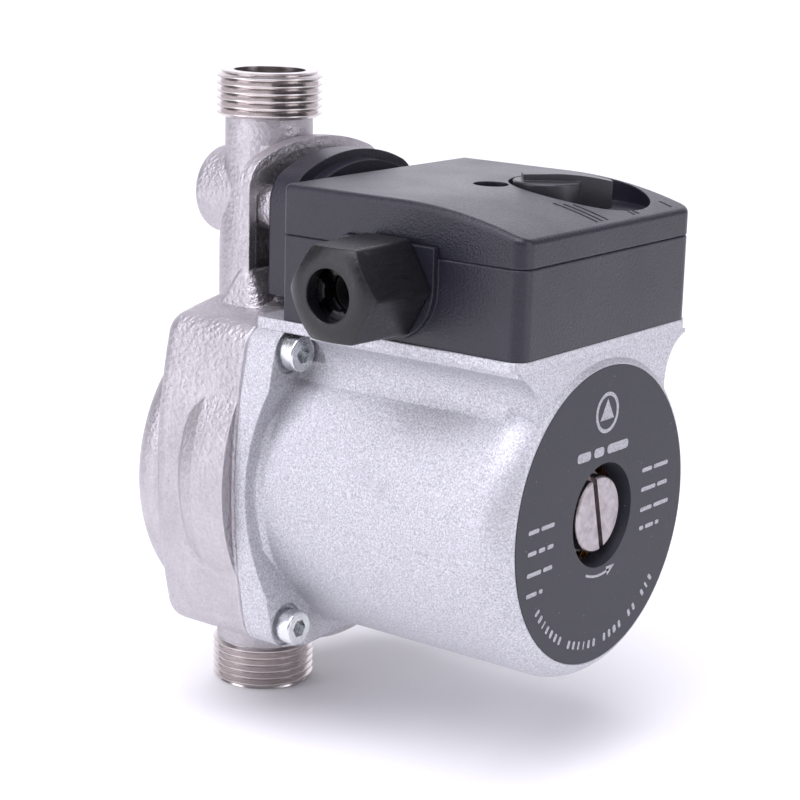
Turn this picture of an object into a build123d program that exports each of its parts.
from build123d import *
import math
import os

os.makedirs("parts", exist_ok=True)

# Wet-rotor booster pump for a G 3/4 line, with a flow switch on its outlet neck.
# Row frame: millimetres, +Z up along the pipe, +X to the right seen from the nameplate,
# nameplate towards -Y. The origin is the centre of the inlet port's end face.

# ---------------------------------------------------------------- driving dimensions
port_length = 160.0
motor_axis_z = 65.0
thread_crest_r = 13.22
thread_root_r = 12.06
thread_pitch = 1.814
thread_turns = 6
thread_length = 11.3
inlet_bore_r = 8.0
inlet_step_z = 46.0
suction_r = 6.7
outlet_bore_r = 9.0
outlet_step_z = 138.0
flap_well_r = 8.6
neck_top_r = 11.0
neck_low_r = 12.3

joint_y = -27.5
collar_r = 47.0
joint_chamfer = 0.5
outline_mid = 43.4
outline_corner = 38.24
outline_fillet = 6.5
screw_offset = 33.8
screw_seat_y = -35.6

barrel_r = 40.0
barrel_bore_r = 37.0
barrel_round_y = -95.5
front_y = -103.3
plate_r = 35.4
plate_hole_r = 12.5
boss_front_y = -97.5
vent_seat_y = -98.6
vent_face_y = -102.3

saddle_top_z = 106.5
saddle_half = 35.9
box_half = 35.4
box_back_y = -34.9
box_front_y = -102.7
box_wall = 2.2
seam_z = 126.8
seam_chamfer = 0.3
cover_top_z = 138.6
cover_bend_y = -68.0
cover_bend_r = 112.0

gland_y = -67.2
gland_z = 119.8
gland_boss_r = 12.8
gland_boss_x = -37.2
gland_top_z = 129.3

dial_x = 16.6
dial_y = -82.3
dial_r = 16.8
dial_floor_z = 132.6
knob_x = 11.6
knob_y = -76.6
knob_r = 8.2
knob_top_z = 139.3

chamber_z = 128.8
chamber_r = 11.2
chamber_bore_r = 8.8
chamber_end_y = 16.0
tray_back_y = -12.6
tray_front_y = -16.0
tray_half = 25.5
pocket_depth = 1.4
web_half = 9.5
web_top_z = 142.0
tray_base_z = 106.0
tray_top_z = 144.9
module_half = 24.0
module_back_y = -20.4
module_step_y = -28.0
module_front_y = -31.0

rotor_r = 20.2
shaft_r = 4.0
can_r = 22.0
can_wall = 0.8
impeller_r = 31.0
volute_floor_y = -12.5
flap_pin_y = 9.6
flap_pin_z = 123.3
running = 0.05

motor_axis = Axis((0, 0, motor_axis_z), (0, 1, 0))
pipe_axis = Axis.Z
# Local X is the row's Y and local Y is the height above the motor axis.
side_plane = Plane(origin=(0, 0, motor_axis_z), x_dir=(0, 1, 0), z_dir=(1, 0, 0))


def front_plane(y, z=motor_axis_z):
    """A plane that faces the nameplate side, so that extruding goes towards -Y."""
    return Plane(origin=(0, y, z), x_dir=(1, 0, 0), z_dir=(0, -1, 0))


def turned_about_motor(points, mode=Mode.ADD):
    """Revolves a closed outline of (y, radius) points about the motor axis."""
    with BuildSketch(side_plane) as section:
        with BuildLine():
            Polyline(*points, close=True)
        make_face()
    revolve(section.sketch, axis=motor_axis, mode=mode)


def ring_about_motor(y_low, y_high, r_low, r_high):
    """A plain ring about the motor axis."""
    turned_about_motor([(y_low, r_low), (y_high, r_low), (y_high, r_high), (y_low, r_high)])


def flange_outline():
    """A square with four bowed sides, shared by the casting and the motor flange."""
    c = outline_corner
    with BuildLine() as bows:
        for turn in range(4):
            start = Vector(c, -c).rotate(Axis.Z, 90 * turn)
            middle = Vector(outline_mid, 0).rotate(Axis.Z, 90 * turn)
            end = Vector(c, c).rotate(Axis.Z, 90 * turn)
            ThreePointArc(start, middle, end)
    make_face(bows.edges())


def port_thread(z_end, way):
    """Ring-shaped threads of an outside pipe thread, from the end face inwards."""
    lead = 0.5
    points = [(0, z_end), (thread_root_r + 0.2, z_end)]
    z = z_end + way * lead
    for turn in range(thread_turns):
        points.append((thread_root_r, z))
        points.append((thread_crest_r, z + way * thread_pitch * 0.42))
        points.append((thread_crest_r, z + way * thread_pitch * 0.58))
        z = z + way * thread_pitch
    points.append((thread_root_r, z))
    points.append((0, z))
    with BuildSketch(Plane.XZ) as section:
        with BuildLine():
            Polyline(*points, close=True)
        make_face()
    revolve(section.sketch, axis=pipe_axis)


def finish(part, name):
    """Labels one piece and writes its file."""
    part.label = name
    export_step(part, f"parts/{name}.step")


# ---------------------------------------------------------------- pump housing casting
block_back_y = 0.0
body_back_y = 8.0
body_r = 39.0
body_drop = 4.0
roll_r = 7.2
roll_path_r = 34.4
roll_y = 2.2

with BuildPart() as pump_housing:
    with BuildSketch(front_plane(block_back_y)) as block_outline:
        flange_outline()
        fillet(block_outline.vertices(), outline_fillet)
    extrude(amount=block_back_y - joint_y)
    fillet(pump_housing.faces().sort_by(Axis.Y)[-1].edges(), 5.0)
    chamfer(pump_housing.faces().sort_by(Axis.Y)[0].edges(), joint_chamfer)
    turned_about_motor([
        (joint_y + joint_chamfer, 0), (joint_y + joint_chamfer, collar_r), (-17.0, collar_r),
        (-12.5, collar_r - 1.4), (-9.0, collar_r - 4.0), (-4.0, collar_r - 6.0),
        (-2.0, body_r), (-2.0, 0),
    ])
    # The collar is trimmed level with the top of the block.
    with BuildSketch(Plane.XY.offset(motor_axis_z + outline_mid - 0.6)):
        Rectangle(120, 120)
    extrude(amount=20, mode=Mode.SUBTRACT)
    # The round body behind the block, a little below the motor axis.
    body_axis = Axis((0, 0, motor_axis_z - body_drop), (0, 1, 0))
    with BuildSketch(side_plane):
        with BuildLine():
            Polyline((-12, -body_drop), (-12, body_r - body_drop - 0.5), (0, body_r - body_drop - 0.5))
            RadiusArc((0, body_r - body_drop - 0.5), (body_back_y, body_r - body_drop - 8.5), 8.0)
            Polyline((body_back_y, body_r - body_drop - 8.5), (body_back_y, -body_drop),
                     (-12, -body_drop))
        make_face()
    revolve(axis=body_axis)
    # The rolled volute passage that stands out round the back.
    roll_start = Plane(origin=(0, 0, motor_axis_z - body_drop), x_dir=(0, 1, 0), z_dir=(1, 0, 0))
    with BuildSketch(roll_start):
        with Locations((roll_y, roll_path_r)):
            Circle(roll_r)
    revolve(axis=body_axis)
    # The gusset that rises from the block to the foot of the tray.
    with BuildSketch(Plane.XY.offset(motor_axis_z + 38)):
        with Locations((0, -13.25)):
            RectangleRounded(2 * 28, 17.5, 4)
    with BuildSketch(Plane.XY.offset(motor_axis_z + 50)):
        with Locations((0, -14.3)):
            RectangleRounded(2 * tray_half, 3.2, 1.5)
    loft()
    # Inlet and outlet necks, with the flow switch chamber across the outlet.
    with BuildSketch(Plane.XZ):
        with BuildLine():
            Polyline((0, thread_length), (neck_low_r, thread_length), (neck_low_r, motor_axis_z + 52),
                     (neck_top_r, motor_axis_z + 72), (neck_top_r, port_length - thread_length),
                     (0, port_length - thread_length), close=True)
        make_face()
    revolve(axis=pipe_axis)
    port_thread(0, 1)
    port_thread(port_length, -1)
    with BuildSketch(front_plane(chamber_end_y, chamber_z)):
        Circle(chamber_r)
    extrude(amount=chamber_end_y - tray_back_y)
    chamber_end = pump_housing.faces().filter_by(GeomType.PLANE).sort_by(Axis.Y)[-1]
    fillet(chamber_end.edges(), 2.5)
    # A web joins the neck to the tray.
    with BuildSketch(front_plane(-5.0, tray_base_z)):
        with Locations((0, web_top_z / 2 - tray_base_z / 2)):
            Rectangle(2 * web_half, web_top_z - tray_base_z)
    extrude(amount=-5.0 - tray_back_y)
    # The tray that carries the flow switch module.
    with BuildSketch(front_plane(tray_back_y, tray_base_z)) as tray_outline:
        with BuildLine():
            Polyline((-tray_half, 33), (-tray_half, 0), (tray_half, 0), (tray_half, 33))
            ThreePointArc((-tray_half, 33), (0, tray_top_z - tray_base_z), (tray_half, 33))
        make_face()
        fillet(tray_outline.vertices().group_by(Axis.Y)[-1], 8.0)
    extrude(amount=tray_back_y - tray_front_y)
    with BuildSketch(front_plane(tray_front_y + pocket_depth, tray_base_z)) as tray_pocket:
        with BuildLine():
            Polyline((-tray_half + 2.6, 31), (-tray_half + 2.6, -3), (tray_half - 2.6, -3),
                     (tray_half - 2.6, 31))
            ThreePointArc((-tray_half + 2.6, 31), (0, tray_top_z - tray_base_z - 2.6),
                          (tray_half - 2.6, 31))
        make_face()
        fillet(tray_pocket.vertices().group_by(Axis.Y)[-1], 6.5)
    extrude(amount=pocket_depth + 0.1, mode=Mode.SUBTRACT)
    with BuildSketch(front_plane(tray_front_y + pocket_depth, chamber_z)):
        with Locations((-17.2, 0), (17.2, 0)):
            Circle(5.4)
    extrude(amount=pocket_depth + 4.3)
    # Passages: suction, volute, riser, flap chamber and outlet.
    with BuildSketch(Plane.XY):
        Circle(inlet_bore_r)
    extrude(amount=inlet_step_z, mode=Mode.SUBTRACT)
    with BuildSketch(Plane.XY):
        Circle(suction_r)
    extrude(amount=motor_axis_z + 6, mode=Mode.SUBTRACT)
    turned_about_motor([(-7.0, 0), (4.5, 0), (4.5, 12.5), (-7.0, 12.5)], Mode.SUBTRACT)
    turned_about_motor([
        (-7.1, 0), (-7.1, 14.0), (volute_floor_y, 14.0), (volute_floor_y, 35.0),
        (joint_y + 2, 35.0), (joint_y + 2, 36.7), (joint_y, 36.7), (joint_y, 0),
    ], Mode.SUBTRACT)
    turned_about_motor([
        (joint_y, 38.6), (joint_y, 41.0), (joint_y + 1.9, 41.0), (joint_y + 1.9, 38.6),
    ], Mode.SUBTRACT)
    with BuildSketch(Plane.XY.offset(motor_axis_z + 28)):
        with Locations((0, -19)):
            Ellipse(8, 5.5)
    with BuildSketch(Plane.XY.offset(motor_axis_z + 48)):
        Circle(7.0)
    loft(mode=Mode.SUBTRACT)
    with BuildSketch(Plane.XY.offset(motor_axis_z + 47.5)):
        Circle(7.2)
    extrude(amount=9, mode=Mode.SUBTRACT)
    with BuildSketch(Plane.XY.offset(motor_axis_z + 56)):
        Circle(flap_well_r)
    extrude(amount=port_length, mode=Mode.SUBTRACT)
    with BuildSketch(Plane.XY.offset(outlet_step_z)):
        Circle(outlet_bore_r)
    extrude(amount=port_length, mode=Mode.SUBTRACT)
    with BuildSketch(front_plane(chamber_end_y - 2.5, chamber_z)):
        Circle(chamber_bore_r)
    extrude(amount=chamber_end_y - 2.5 + 6.5, mode=Mode.SUBTRACT)
    with BuildSketch(Plane.YZ.offset(-6.6)):
        with Locations((flap_pin_y, flap_pin_z)):
            Circle(1.0)
    extrude(amount=13.2, mode=Mode.SUBTRACT)
    # Blind holes for the flange screws and the module screws.
    with BuildSketch(front_plane(joint_y)):
        with GridLocations(2 * screw_offset, 2 * screw_offset, 2, 2):
            Circle(2.5 + running)
    extrude(amount=-13.0, mode=Mode.SUBTRACT)
    with BuildSketch(front_plane(tray_front_y - 4.3, chamber_z)):
        with Locations((-17.2, 0), (17.2, 0)):
            Circle(1.5 + running)
    extrude(amount=-7.0, mode=Mode.SUBTRACT)
finish(pump_housing.part, "pump_housing")

with BuildPart() as housing_gasket:
    ring_about_motor(joint_y, joint_y + 1.9, 38.75, 40.85)
finish(housing_gasket.part, "housing_gasket")

with BuildPart() as neck_ring:
    ring_about_motor(volute_floor_y, -7.2, 12.1, 14.0)
finish(neck_ring.part, "neck_ring")

# ---------------------------------------------------------------- wet end and rotor
with BuildPart() as bearing_plate:
    ring_about_motor(joint_y, joint_y + 1.9, 8.0, 36.5)
    ring_about_motor(-37.5, joint_y, 8.0, 11.0)
finish(bearing_plate.part, "bearing_plate")

with BuildPart() as rotor_can:
    turned_about_motor([
        (joint_y, 21.2), (joint_y, 36.4), (joint_y - 1, 36.4), (joint_y - 1, can_r),
        (-86.8, can_r), (-86.8, 10.0), (boss_front_y, 10.0), (boss_front_y, 7.05), (-91.0, 7.05),
        (-91.0, 8.0), (-84.0, 8.0), (-84.0, 9.2), (-86.0, 9.2), (-86.0, can_r - can_wall),
    ])
finish(rotor_can.part, "rotor_can")

with BuildPart() as front_bearing:
    ring_about_motor(-90.8, -84.2, shaft_r + running, 8.0)
finish(front_bearing.part, "front_bearing")

with BuildPart() as rear_bearing:
    ring_about_motor(-37.5, -28.5, shaft_r + running, 8.0)
finish(rear_bearing.part, "rear_bearing")

with BuildPart() as shaft:
    turned_about_motor([(-90.4, 0), (-90.4, shaft_r), (-10.4, shaft_r), (-10.4, 0)])
    chamfer(shaft.edges().filter_by(GeomType.CIRCLE), 0.5)
    # Screwdriver slot in the front end, reached through the vent.
    with BuildSketch(front_plane(-90.4)):
        Rectangle(1.0, 9.0)
    extrude(amount=-1.5, mode=Mode.SUBTRACT)
finish(shaft.part, "shaft")

with BuildPart() as rotor_core:
    ring_about_motor(-80.0, -42.0, shaft_r, rotor_r)
finish(rotor_core.part, "rotor_core")

with BuildPart() as rotor_sleeve:
    turned_about_motor([
        (-80.4, shaft_r), (-80.4, rotor_r + 0.3), (-41.6, rotor_r + 0.3), (-41.6, shaft_r),
        (-42.0, shaft_r), (-42.0, rotor_r), (-80.0, rotor_r), (-80.0, shaft_r),
    ])
finish(rotor_sleeve.part, "rotor_sleeve")

with BuildPart() as thrust_ring:
    ring_about_motor(-41.6, -38.0, shaft_r, 8.0)
finish(thrust_ring.part, "thrust_ring")

blade_count = 6
with BuildPart() as impeller:
    turned_about_motor([
        (-24.6, shaft_r), (-24.6, impeller_r), (-23.0, impeller_r), (-23.0, 12.0),
        (-14.0, 6.6), (-13.0, 6.6), (-13.0, shaft_r),
    ])
    # Backward-curved blades between the two shrouds.
    with BuildSketch(front_plane(-15.2)) as blades:
        with PolarLocations(0, blade_count):
            with BuildLine():
                RadiusArc((9.0, 0), (impeller_r * math.cos(0.62), -impeller_r * math.sin(0.62)), 26)
                offset(amount=0.8, side=Side.BOTH)
            make_face()
    extrude(amount=8.2)
finish(impeller.part, "impeller")

with BuildPart() as impeller_cover:
    turned_about_motor([
        (-15.2, 10.4), (-15.2, impeller_r), (-13.7, impeller_r), (-13.7, 12.0),
        (-8.0, 12.0), (-8.0, 10.4),
    ])
finish(impeller_cover.part, "impeller_cover")

with BuildPart() as impeller_clip:
    ring_about_motor(-13.0, -11.6, shaft_r, 6.4)
finish(impeller_clip.part, "impeller_clip")

# ---------------------------------------------------------------- motor
with BuildPart() as stator_core:
    with BuildSketch(front_plane(-46.0)):
        Circle(barrel_bore_r - 0.02)
        Circle(can_r + 0.05, mode=Mode.SUBTRACT)
        with PolarLocations(28.5, 12):
            SlotCenterToCenter(5.5, 4.2, mode=Mode.SUBTRACT)
    extrude(amount=34.0)
finish(stator_core.part, "stator_core")

with BuildPart() as stator_windings:
    for low, high in ((-46.0, -37.0), (-89.0, -80.0)):
        ring_about_motor(low, high, 24.0, 34.5)
    fillet(stator_windings.edges().filter_by(GeomType.CIRCLE), 2.0)
    with BuildSketch(front_plane(-46.0)):
        with PolarLocations(28.5, 12):
            SlotCenterToCenter(5.3, 4.0)
    extrude(amount=34.0)
finish(stator_windings.part, "stator_windings")

saddle_neck_z = 33.4


def saddle_section(foot_x, foot_z, waist_x):
    """Bell-shaped section under the terminal box, with its feet on the barrel."""
    rim_x = saddle_half - 0.6
    rim_z = saddle_top_z - motor_axis_z - 2.6
    with BuildLine() as bell:
        Polyline((rim_x, rim_z), (rim_x, rim_z - 0.8))
        ThreePointArc((rim_x, rim_z - 0.8), (waist_x, saddle_neck_z), (foot_x, foot_z))
        Polyline((foot_x, foot_z), (0, 20), (-foot_x, foot_z))
        ThreePointArc((-foot_x, foot_z), (-waist_x, saddle_neck_z), (-rim_x, rim_z - 0.8))
        Polyline((-rim_x, rim_z - 0.8), (-rim_x, rim_z), (rim_x, rim_z))
    make_face(bell.edges())


with BuildPart() as motor_housing:
    with BuildSketch(front_plane(joint_y)) as flange_sketch:
        flange_outline()
        fillet(flange_sketch.vertices(), outline_fillet)
    extrude(amount=joint_y - (-36.4))
    chamfer(motor_housing.faces().sort_by(Axis.Y)[-1].edges(), joint_chamfer)
    # The flange face dips between the screw lobes.
    scoop_r = 65.0
    for axis_plane in (Plane.YZ.offset(-60), Plane.XY.offset(motor_axis_z - 60)):
        with BuildSketch(axis_plane) as scoop:
            if axis_plane.z_dir.X > 0.5:
                with Locations((-31.2 - scoop_r, motor_axis_z)):
                    Circle(scoop_r)
            else:
                with Locations((0, -31.2 - scoop_r)):
                    Circle(scoop_r)
        extrude(amount=120, mode=Mode.SUBTRACT)
    with BuildSketch(side_plane) as barrel_section:
        with BuildLine():
            Polyline((joint_y, 0), (joint_y, barrel_r + 1.2), (-33.0, barrel_r + 1.2),
                     (-34.2, barrel_r), (barrel_round_y, barrel_r))
            RadiusArc((barrel_round_y, barrel_r), (front_y, plate_r + 0.4), -9.2)
            Polyline((front_y, plate_r + 0.4), (front_y, 0), (joint_y, 0))
        make_face()
    revolve(axis=motor_axis)
    # Saddle under the terminal box, with hollow flanks down to the barrel.
    with BuildSketch(front_plane(joint_y)):
        saddle_section(30.8, 25.2, 29.8)
    extrude(amount=joint_y - barrel_round_y)
    # At the front the feet draw in behind the barrel's rounded edge.
    with BuildSketch(front_plane(barrel_round_y)):
        saddle_section(30.8, 25.2, 29.8)
    with BuildSketch(front_plane(front_y + 0.9)):
        saddle_section(27.6, 22.6, 28.6)
    loft()
    with BuildSketch(Plane.XY.offset(saddle_top_z - 2.7)) as rim_outline:
        with Locations((0, (joint_y + front_y + 0.5) / 2)):
            Rectangle(2 * saddle_half, joint_y - front_y - 0.5)
        fillet(rim_outline.vertices().group_by(Axis.Y)[0], 3.6)
        fillet(rim_outline.vertices().group_by(Axis.Y)[-1], 1.0)
    extrude(amount=2.7)
    with BuildSketch(Plane.XY.offset(saddle_top_z)):
        Rectangle(120, 240)
    extrude(amount=10, mode=Mode.SUBTRACT)
    # Recesses that give the upper flange screws room under the saddle rim.
    with BuildSketch(front_plane(screw_seat_y)):
        with GridLocations(2 * screw_offset, 2 * screw_offset, 2, 2):
            Circle(5.2)
    extrude(amount=8.0, mode=Mode.SUBTRACT)
    # Bore for the stator, front opening, nameplate seat.
    turned_about_motor([
        (joint_y, 0), (joint_y, 37.0), (-98.0, 37.0), (-98.0, 13.8), (front_y, 13.8),
        (front_y, 0),
    ], Mode.SUBTRACT)
    turned_about_motor([
        (front_y, 0), (front_y, plate_r + 0.1), (front_y + 0.8, plate_r + 0.1),
        (front_y + 0.8, 0),
    ], Mode.SUBTRACT)
    # Wire window into the terminal box and the two box screw holes.
    with BuildSketch(Plane.XY.offset(motor_axis_z + 30)):
        with Locations((0, -90)):
            RectangleRounded(18, 8, 2)
    extrude(amount=12, mode=Mode.SUBTRACT)
    with BuildSketch(Plane.XY.offset(saddle_top_z)):
        with Locations((-22, -48), (22, -48)):
            Circle(1.75 + running)
    extrude(amount=-7.0, mode=Mode.SUBTRACT)
    with BuildSketch(front_plane(joint_y)):
        with GridLocations(2 * screw_offset, 2 * screw_offset, 2, 2):
            Circle(2.5 + running)
    extrude(amount=9.0, mode=Mode.SUBTRACT)
finish(motor_housing.part, "motor_housing")

with BuildPart() as nameplate:
    turned_about_motor([
        (front_y + 0.8, plate_r), (front_y - 0.1, plate_r), (front_y - 0.1, plate_hole_r),
        (-98.2, plate_hole_r - 0.6), (-98.2, 13.6), (front_y + 0.8, 13.6),
    ])
finish(nameplate.part, "nameplate")

# Socket-head cap screws that clamp the motor to the casting.
head_r = 4.25
with BuildPart() as flange_screws:
    with BuildSketch(front_plane(screw_seat_y)):
        with GridLocations(2 * screw_offset, 2 * screw_offset, 2, 2):
            Circle(head_r)
    extrude(amount=5.0)
    with BuildSketch(front_plane(screw_seat_y)):
        with GridLocations(2 * screw_offset, 2 * screw_offset, 2, 2):
            Circle(2.5)
    extrude(amount=-(joint_y - screw_seat_y + 11.5))
    fillet(flange_screws.faces().sort_by(Axis.Y)[0:4].edges(), 0.5)
    with BuildSketch(front_plane(screw_seat_y - 5.0)):
        with GridLocations(2 * screw_offset, 2 * screw_offset, 2, 2):
            RegularPolygon(2.3, 6)
    extrude(amount=-2.6, mode=Mode.SUBTRACT)
finish(flange_screws.part, "flange_screws")

# Vent screw in the front boss of the can, with its sealing ring.
with BuildPart() as vent_screw:
    turned_about_motor([
        (vent_face_y, 0), (vent_face_y, 8.7), (vent_face_y + 0.4, 9.1), (vent_seat_y, 9.1),
        (vent_seat_y, 7.0), (-93.2, 7.0), (-92.4, 6.2), (-92.4, 0),
    ])
    with BuildSketch(front_plane(vent_face_y)):
        Rectangle(1.8, 20, rotation=14)
    extrude(amount=-2.0, mode=Mode.SUBTRACT)
finish(vent_screw.part, "vent_screw")

with BuildPart() as vent_seal:
    ring_about_motor(vent_seat_y, boss_front_y, 7.1, 8.8)
finish(vent_seal.part, "vent_seal")

# ---------------------------------------------------------------- terminal box
box_floor_z = saddle_top_z + 2.5
cover_screw_y = -68.5


def box_outline(inset):
    """Plan of the terminal box: rounded at the front, sharper at the back."""
    with BuildLine() as rim:
        Polyline((-box_half + inset, box_back_y - inset), (box_half - inset, box_back_y - inset),
                 (box_half - inset, box_front_y + inset), (-box_half + inset, box_front_y + inset),
                 close=True)
    make_face(rim.edges())


def top_height(y):
    """Height of the cover's top: flat at the back, bending down towards the front."""
    if y >= cover_bend_y:
        return cover_top_z
    reach = cover_bend_y - y
    return cover_top_z - cover_bend_r + math.sqrt(cover_bend_r ** 2 - reach ** 2)


with BuildPart() as terminal_box:
    with BuildSketch(Plane.XY.offset(saddle_top_z)) as base_plan:
        box_outline(0)
        fillet(base_plan.vertices().group_by(Axis.Y)[0], 3.6)
        fillet(base_plan.vertices().group_by(Axis.Y)[-1], 1.6)
    extrude(amount=seam_z - saddle_top_z)
    chamfer(terminal_box.faces().sort_by(Axis.Z)[-1].edges(), seam_chamfer)
    with BuildSketch(Plane.YZ.offset(gland_boss_x)):
        with Locations((gland_y, gland_z)):
            Circle(gland_boss_r)
        with Locations((gland_y, (gland_z + gland_top_z) / 2)):
            Rectangle(2 * gland_boss_r, gland_top_z - gland_z)
        with Locations((gland_y, gland_top_z + 5)):
            Rectangle(2 * gland_boss_r, 10, mode=Mode.SUBTRACT)
    extrude(amount=-box_half - gland_boss_x + box_wall)
    with BuildSketch(Plane.XY.offset(box_floor_z)) as well_plan:
        box_outline(box_wall)
        fillet(well_plan.vertices(), 2.0)
    extrude(amount=30, mode=Mode.SUBTRACT)
    with BuildSketch(Plane.YZ.offset(gland_boss_x - 1)):
        with Locations((gland_y, gland_z)):
            Circle(8.0)
    extrude(amount=6, mode=Mode.SUBTRACT)
    with BuildSketch(Plane.XY.offset(box_floor_z)):
        with Locations((0, cover_screw_y)):
            Circle(4.2)
    extrude(amount=seam_z - box_floor_z)
    with BuildSketch(Plane.XY.offset(seam_z)):
        with Locations((0, cover_screw_y)):
            Circle(1.5)
    extrude(amount=-15, mode=Mode.SUBTRACT)
    with BuildSketch(Plane.XY.offset(saddle_top_z)):
        with Locations((-22, -48), (22, -48)):
            Circle(1.8)
        with Locations((0, -90)):
            RectangleRounded(17, 7, 2)
    extrude(amount=2.5, mode=Mode.SUBTRACT)
finish(terminal_box.part, "terminal_box")

# The inside of the cover, less the dial cup and the boss of the cover screw.
with BuildPart() as cover_hollow:
    with BuildSketch(Plane.YZ.offset(-box_half + box_wall)):
        with BuildLine():
            Polyline((box_back_y - box_wall, seam_z), (box_back_y - box_wall, cover_top_z - 2.4),
                     (cover_bend_y, cover_top_z - 2.4))
            ThreePointArc((cover_bend_y, cover_top_z - 2.4), (-86, top_height(-86) - 2.4),
                          (box_front_y + box_wall, top_height(box_front_y + box_wall) - 2.4))
            Polyline((box_front_y + box_wall, top_height(box_front_y + box_wall) - 2.4),
                     (box_front_y + box_wall, seam_z), (box_back_y - box_wall, seam_z))
        make_face()
    extrude(amount=2 * (box_half - box_wall))
    with BuildSketch(Plane.XY.offset(dial_floor_z - 1.8)):
        with Locations((dial_x, dial_y)):
            Circle(dial_r + 1.0)
    extrude(amount=20, mode=Mode.SUBTRACT)
    with BuildSketch(Plane.XY.offset(seam_z + 0.2)):
        with Locations((0, cover_screw_y)):
            Circle(5.4)
    extrude(amount=20, mode=Mode.SUBTRACT)

mark_lines = [
    (-3.7, -88.6), (-1.6, -89.9), (0.7, -91.1),
    (12.1, -95.9), (13.9, -96.4),
    (28.6, -97.2),
]
mark_end_y = -100.6
mark_depth = 0.8
mark_half = 0.45
with BuildPart() as terminal_cover:
    with BuildSketch(Plane.XY.offset(seam_z)) as cover_plan:
        box_outline(0)
        fillet(cover_plan.vertices().group_by(Axis.Y)[0], 3.6)
        fillet(cover_plan.vertices().group_by(Axis.Y)[-1], 1.6)
    extrude(amount=cover_top_z - seam_z)
    chamfer(terminal_cover.faces().sort_by(Axis.Z)[0].edges(), seam_chamfer)
    with BuildSketch(Plane.YZ.offset(-50)):
        with BuildLine():
            Polyline((cover_bend_y, cover_top_z), (cover_bend_y, cover_top_z + 9),
                     (box_front_y - 5, cover_top_z + 9), (box_front_y - 5, top_height(box_front_y - 5)))
            ThreePointArc((box_front_y - 5, top_height(box_front_y - 5)),
                          (-86, top_height(-86)), (cover_bend_y, cover_top_z))
        make_face()
    extrude(amount=100, mode=Mode.SUBTRACT)
    upper_edges = terminal_cover.faces().filter_by(lambda f: f.normal_at().Z > 0.7).edges()
    rim_edges = upper_edges.filter_by(
        lambda e: abs(e.center().X) > 30 or e.center().Y > -37 or e.center().Y < -100)
    fillet(rim_edges, 1.5)
    add(cover_hollow.part, mode=Mode.SUBTRACT)
    with BuildSketch(Plane.XY.offset(dial_floor_z)):
        with Locations((dial_x, dial_y)):
            Circle(dial_r)
    extrude(amount=20, mode=Mode.SUBTRACT)
    with BuildSketch(Plane.XY.offset(dial_floor_z - 3)):
        with Locations((knob_x, knob_y)):
            Circle(3.0 + running)
    extrude(amount=5, mode=Mode.SUBTRACT)
    with BuildSketch(Plane.XY.offset(seam_z + 4.2)):
        with Locations((0, cover_screw_y)):
            Circle(4.2)
    extrude(amount=20, mode=Mode.SUBTRACT)
    with BuildSketch(Plane.XY.offset(seam_z)):
        with Locations((0, cover_screw_y)):
            Circle(1.6)
    extrude(amount=6, mode=Mode.SUBTRACT)
    # Room for the gland boss of the box.
    with BuildSketch(Plane.YZ.offset(-box_half - 1)):
        with Locations((gland_y, (seam_z + gland_top_z) / 2 - 0.5)):
            Rectangle(2 * gland_boss_r + 0.2, gland_top_z - seam_z + 1.2)
    extrude(amount=1 + box_wall + 0.1, mode=Mode.SUBTRACT)
    # Engraved speed marks: three, two and one line.
    for x, start_y in mark_lines:
        middle_y = (start_y + mark_end_y) / 2
        with BuildSketch(Plane.YZ.offset(x - mark_half)):
            with BuildLine():
                Polyline((start_y, top_height(start_y) + 2), (start_y, top_height(start_y) - mark_depth),
                         (middle_y, top_height(middle_y) - mark_depth),
                         (mark_end_y, top_height(mark_end_y) - mark_depth),
                         (mark_end_y, top_height(mark_end_y) + 2), close=True)
            make_face()
        extrude(amount=2 * mark_half, mode=Mode.SUBTRACT)
finish(terminal_cover.part, "terminal_cover")

with BuildPart() as cover_screw:
    with BuildSketch(Plane.XY.offset(seam_z + 4.2)):
        with Locations((0, cover_screw_y)):
            Circle(3.2)
    extrude(amount=2.4)
    fillet(cover_screw.faces().sort_by(Axis.Z)[-1].edges(), 0.6)
    with BuildSketch(Plane.XY.offset(seam_z - 12)):
        with Locations((0, cover_screw_y)):
            Circle(1.5)
    extrude(amount=16.2)
    with BuildSketch(Plane.XY.offset(seam_z + 6.6)):
        with Locations((0, cover_screw_y)):
            Rectangle(4.4, 0.9, rotation=20)
            Rectangle(0.9, 4.4, rotation=20)
    extrude(amount=-1.4, mode=Mode.SUBTRACT)
finish(cover_screw.part, "cover_screw")

# Slotted screws that hold the box to the saddle.
with BuildPart() as box_screws:
    with BuildSketch(Plane.XY.offset(box_floor_z)):
        with Locations((-22, -48), (22, -48)):
            Circle(3.4)
    extrude(amount=2.2)
    with BuildSketch(Plane.XY.offset(saddle_top_z - 6)):
        with Locations((-22, -48), (22, -48)):
            Circle(1.75)
    extrude(amount=9)
    with BuildSketch(Plane.XY.offset(box_floor_z + 2.2)):
        with Locations((-22, -48), (22, -48)):
            Rectangle(7, 0.9)
    extrude(amount=-1.1, mode=Mode.SUBTRACT)
finish(box_screws.part, "box_screws")

# Electrical parts inside the box.
with BuildPart() as terminal_block:
    with BuildSketch(Plane.XY.offset(box_floor_z)):
        with Locations((-15, -88)):
            Rectangle(24, 14)
    extrude(amount=11)
    with BuildSketch(Plane.XY.offset(box_floor_z + 11)):
        with Locations((-15, -88)):
            with GridLocations(5.6, 8, 4, 2):
                Circle(2.0)
    extrude(amount=-6, mode=Mode.SUBTRACT)
    with BuildSketch(front_plane(-95, box_floor_z + 3.2)):
        with Locations((-15, 0)):
            with GridLocations(5.6, 8, 4, 1):
                Circle(1.6)
    extrude(amount=-4, mode=Mode.SUBTRACT)
finish(terminal_block.part, "terminal_block")

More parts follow.
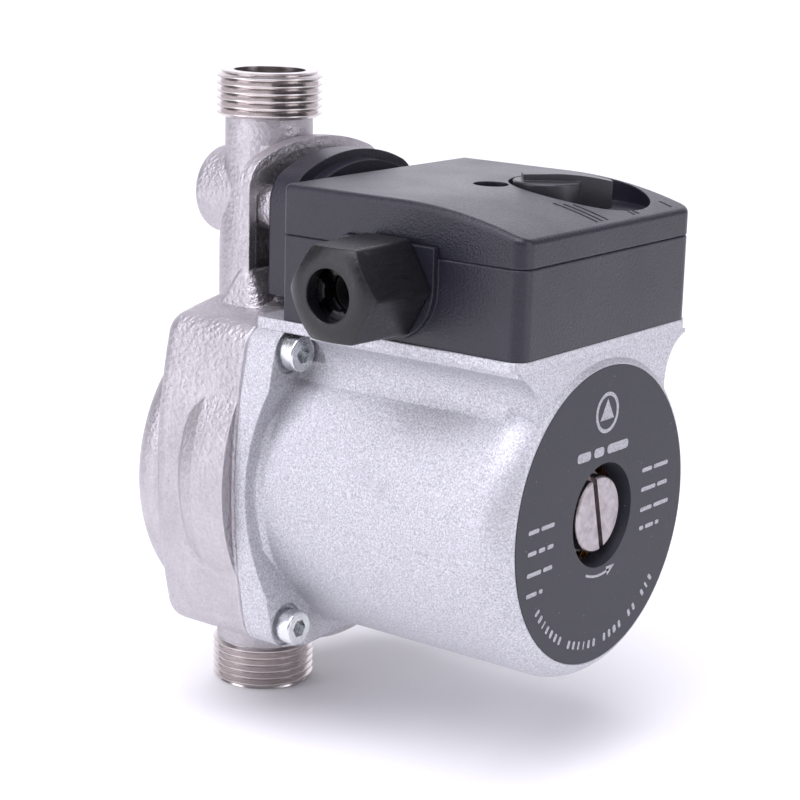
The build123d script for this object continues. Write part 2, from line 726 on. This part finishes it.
with BuildPart() as terminal_screws:
    with BuildSketch(Plane.XY.offset(box_floor_z + 5)):
        with Locations((-15, -88)):
            with GridLocations(5.6, 8, 4, 2):
                Circle(1.9)
    extrude(amount=3)
    with BuildSketch(Plane.XY.offset(box_floor_z + 8)):
        with Locations((-15, -88)):
            with GridLocations(5.6, 8, 4, 2):
                Rectangle(4, 0.6)
    extrude(amount=-0.8, mode=Mode.SUBTRACT)
finish(terminal_screws.part, "terminal_screws")

with BuildPart() as capacitor:
    with BuildSketch(Plane.XY.offset(box_floor_z)):
        with Locations((17, -52)):
            RectangleRounded(28, 24, 2)
        with Locations((22, -48)):
            Circle(4.2, mode=Mode.SUBTRACT)
    extrude(amount=14)
finish(capacitor.part, "capacitor")

with BuildPart() as speed_switch:
    with BuildSketch(Plane.XY.offset(box_floor_z)):
        with Locations((knob_x + 4, knob_y - 3)):
            RectangleRounded(22, 18, 1.5)
    extrude(amount=13)
    with BuildSketch(Plane.XY.offset(box_floor_z + 13)):
        with Locations((knob_x, knob_y)):
            Circle(4.6)
    extrude(amount=3)
    with BuildSketch(Plane.XY.offset(box_floor_z + 8)):
        with Locations((knob_x, knob_y)):
            Circle(2.2 + running)
    extrude(amount=9, mode=Mode.SUBTRACT)
finish(speed_switch.part, "speed_switch")

# Speed knob: drum, grip bar and pointer, on a stem that drives the switch.
pointer_angle = -48.0
pointer_reach = 15.2
grip_back = 6.0
grip_half = 2.1
with BuildPart() as speed_knob:
    with BuildSketch(Plane.XY.offset(dial_floor_z + 0.5)):
        with Locations((knob_x, knob_y)):
            Circle(knob_r)
    extrude(amount=knob_top_z - dial_floor_z - 0.5)
    fillet(speed_knob.faces().sort_by(Axis.Z)[-1].edges(), 0.5)
    knob_plane = Plane(origin=(knob_x, knob_y, dial_floor_z + 0.5),
                       x_dir=Vector(1, 0, 0).rotate(Axis.Z, pointer_angle), z_dir=(0, 0, 1))
    # Grip bar in side view: level over the drum, dropping towards the pointer's tip.
    grip_side = Plane(origin=(knob_x, knob_y, knob_top_z), x_dir=knob_plane.x_dir,
                      z_dir=-knob_plane.y_dir)
    grip_foot = dial_floor_z + 0.5 - knob_top_z
    with BuildSketch(grip_side.offset(-grip_half)):
        with BuildLine():
            Polyline((-grip_back, -0.6), (-grip_back, 1.5), (2.0, 1.7))
            ThreePointArc((2.0, 1.7), (9.0, 1.2), (pointer_reach, 0.1))
            Polyline((pointer_reach, 0.1), (pointer_reach, grip_foot), (6.0, grip_foot),
                     (6.0, -0.6), (-grip_back, -0.6))
        make_face()
    extrude(amount=2 * grip_half)
    with BuildSketch(Plane.XY.offset(box_floor_z + 9)):
        with Locations((knob_x, knob_y)):
            Circle(2.2)
    extrude(amount=10)
    with BuildSketch(Plane.XY.offset(box_floor_z + 17)):
        with Locations((knob_x, knob_y)):
            Circle(3.0)
    extrude(amount=dial_floor_z + 1 - box_floor_z - 17)
finish(speed_knob.part, "speed_knob")

# ---------------------------------------------------------------- cable gland
nut_back_x = -37.6
nut_face_x = -58.0
gland_axis = Axis((0, gland_y, gland_z), (1, 0, 0))
gland_side = Plane(origin=(0, gland_y, gland_z), x_dir=(1, 0, 0), z_dir=(0, -1, 0))


def turned_about_gland(points, mode=Mode.ADD):
    """Revolves a closed outline of (x, radius) points about the gland's axis."""
    with BuildSketch(gland_side) as section:
        with BuildLine():
            Polyline(*points, close=True)
        make_face()
    revolve(section.sketch, axis=gland_axis, mode=mode)


with BuildPart() as gland_body:
    turned_about_gland([
        (-30.4, 5.8), (-30.4, 10.0), (-box_half + box_wall, 10.0), (-box_half + box_wall, 7.95),
        (-49.0, 7.95), (-49.0, 5.8),
    ])
finish(gland_body.part, "gland_body")

with BuildPart() as gland_seal:
    turned_about_gland([(-39.0, 3.6), (-39.0, 5.7), (-49.4, 5.7), (-49.4, 4.4), (-47.0, 3.6)])
finish(gland_seal.part, "gland_seal")

with BuildPart() as gland_claw:
    turned_about_gland([
        (-49.5, 4.6), (-49.5, 7.2), (-52.6, 7.2), (-54.3, 6.3), (-54.3, 4.0), (-52.0, 4.6),
    ])
    with BuildSketch(Plane.YZ.offset(-55)):
        with Locations((gland_y, gland_z)):
            with PolarLocations(6.5, 4, start_angle=45):
                Rectangle(6.0, 3.6)
    extrude(amount=4.4, mode=Mode.SUBTRACT)
finish(gland_claw.part, "gland_claw")

with BuildPart() as gland_nut:
    with BuildSketch(Plane(origin=(nut_back_x, gland_y, gland_z), x_dir=(0, -1, 0),
                           z_dir=(-1, 0, 0))):
        RegularPolygon(12.5, 6)
    extrude(amount=nut_back_x - nut_face_x, taper=1.2)
    fillet(gland_nut.edges().filter_by(lambda e: abs(e.tangent_at(0.5).X) > 0.9), 1.2)
    with BuildSketch(gland_side):
        with BuildLine():
            Polyline((nut_face_x, 0), (nut_face_x, 7.2))
            ThreePointArc((nut_face_x, 7.2), (-57.4, 9.9), (-55.6, 12.6))
            Polyline((-55.6, 12.6), (-55.6, 14), (nut_back_x - 1.0, 14), (nut_back_x, 12.2),
                     (nut_back_x, 0), (nut_face_x, 0))
        make_face()
    revolve(axis=gland_axis, mode=Mode.INTERSECT)
    turned_about_gland([
        (nut_back_x + 1, 0), (nut_back_x + 1, 8.05), (-51.0, 8.05), (-51.0, 7.3),
        (-52.7, 7.3), (-54.5, 6.35), (-54.5, 6.0), (nut_face_x - 1, 6.0), (nut_face_x - 1, 0),
    ], Mode.SUBTRACT)
finish(gland_nut.part, "gland_nut")

# ---------------------------------------------------------------- flow switch
module_base_z = 109.2
with BuildPart() as flow_switch_body:
    with BuildSketch(front_plane(module_back_y, module_base_z)) as module_plan:
        with BuildLine():
            Polyline((-module_half, 27), (-module_half, 0), (module_half, 0), (module_half, 27))
            ThreePointArc((-module_half, 27), (0, 33.6), (module_half, 27))
        make_face()
        fillet(module_plan.vertices().group_by(Axis.Y)[-1], 9.0)
    extrude(amount=module_back_y - module_step_y)
    with BuildSketch(front_plane(module_step_y, module_base_z)) as module_front:
        with BuildLine():
            Polyline((-module_half + 1.6, 24), (-module_half + 1.6, 0), (module_half - 1.6, 0),
                     (module_half - 1.6, 24))
            ThreePointArc((-module_half + 1.6, 24), (0, 31.2), (module_half - 1.6, 24))
        make_face()
        fillet(module_front.vertices().group_by(Axis.Y)[-1], 8.0)
    extrude(amount=module_step_y - module_front_y)
    fillet(flow_switch_body.faces().sort_by(Axis.Y)[-1].edges(), 1.2)
    with BuildSketch(front_plane(module_back_y, chamber_z)):
        with Locations((-17.2, 0), (17.2, 0)):
            Circle(1.6)
    extrude(amount=20, mode=Mode.SUBTRACT)
    with BuildSketch(front_plane(module_front_y + 2.0, chamber_z)):
        with Locations((-17.2, 0), (17.2, 0)):
            Circle(3.2)
    extrude(amount=3, mode=Mode.SUBTRACT)
    with BuildSketch(front_plane(module_back_y - 1.5, chamber_z - 5)):
        Rectangle(26, 5)
    extrude(amount=5, mode=Mode.SUBTRACT)
finish(flow_switch_body.part, "flow_switch_body")

with BuildPart() as flow_switch_screws:
    with BuildSketch(front_plane(module_front_y + 2.0, chamber_z)):
        with Locations((-17.2, 0), (17.2, 0)):
            Circle(2.8)
    extrude(amount=1.8)
    with BuildSketch(front_plane(module_front_y + 2.0, chamber_z)):
        with Locations((-17.2, 0), (17.2, 0)):
            Circle(1.5)
    extrude(amount=-12.0)
finish(flow_switch_screws.part, "flow_switch_screws")

with BuildPart() as reed_switch:
    with BuildSketch(Plane.YZ.offset(-12)):
        with Locations((module_back_y - 4.0, chamber_z - 5)):
            Circle(1.4)
    extrude(amount=24)
finish(reed_switch.part, "reed_switch")

with BuildPart() as flap_pin:
    with BuildSketch(Plane.YZ.offset(-6.5)):
        with Locations((flap_pin_y, flap_pin_z)):
            Circle(1.0)
    extrude(amount=13)
finish(flap_pin.part, "flap_pin")

flap_under_z = motor_axis_z + 56.2
with BuildPart() as flow_flap:
    with BuildSketch(Plane.XY.offset(flap_under_z)):
        Circle(7.7)
    extrude(amount=1.2)
    with BuildSketch(Plane.XY.offset(flap_under_z + 0.4)):
        with Locations((0, flap_pin_y / 2 + 2)):
            Rectangle(5.6, flap_pin_y - 4)
    extrude(amount=2.2)
    with BuildSketch(Plane.YZ.offset(-2.8)):
        with Locations((flap_pin_y, flap_pin_z)):
            Circle(1.8)
    extrude(amount=5.6)
    with BuildSketch(Plane.YZ.offset(-4)):
        with Locations((flap_pin_y, flap_pin_z)):
            Circle(1.0 + running)
    extrude(amount=8, mode=Mode.SUBTRACT)
finish(flow_flap.part, "flow_flap")

with BuildPart() as flap_magnet:
    with BuildSketch(Plane.XY.offset(flap_under_z + 1.2)):
        with Locations((0, -3.4)):
            Circle(2.5)
    extrude(amount=3.0)
finish(flap_magnet.part, "flap_magnet")
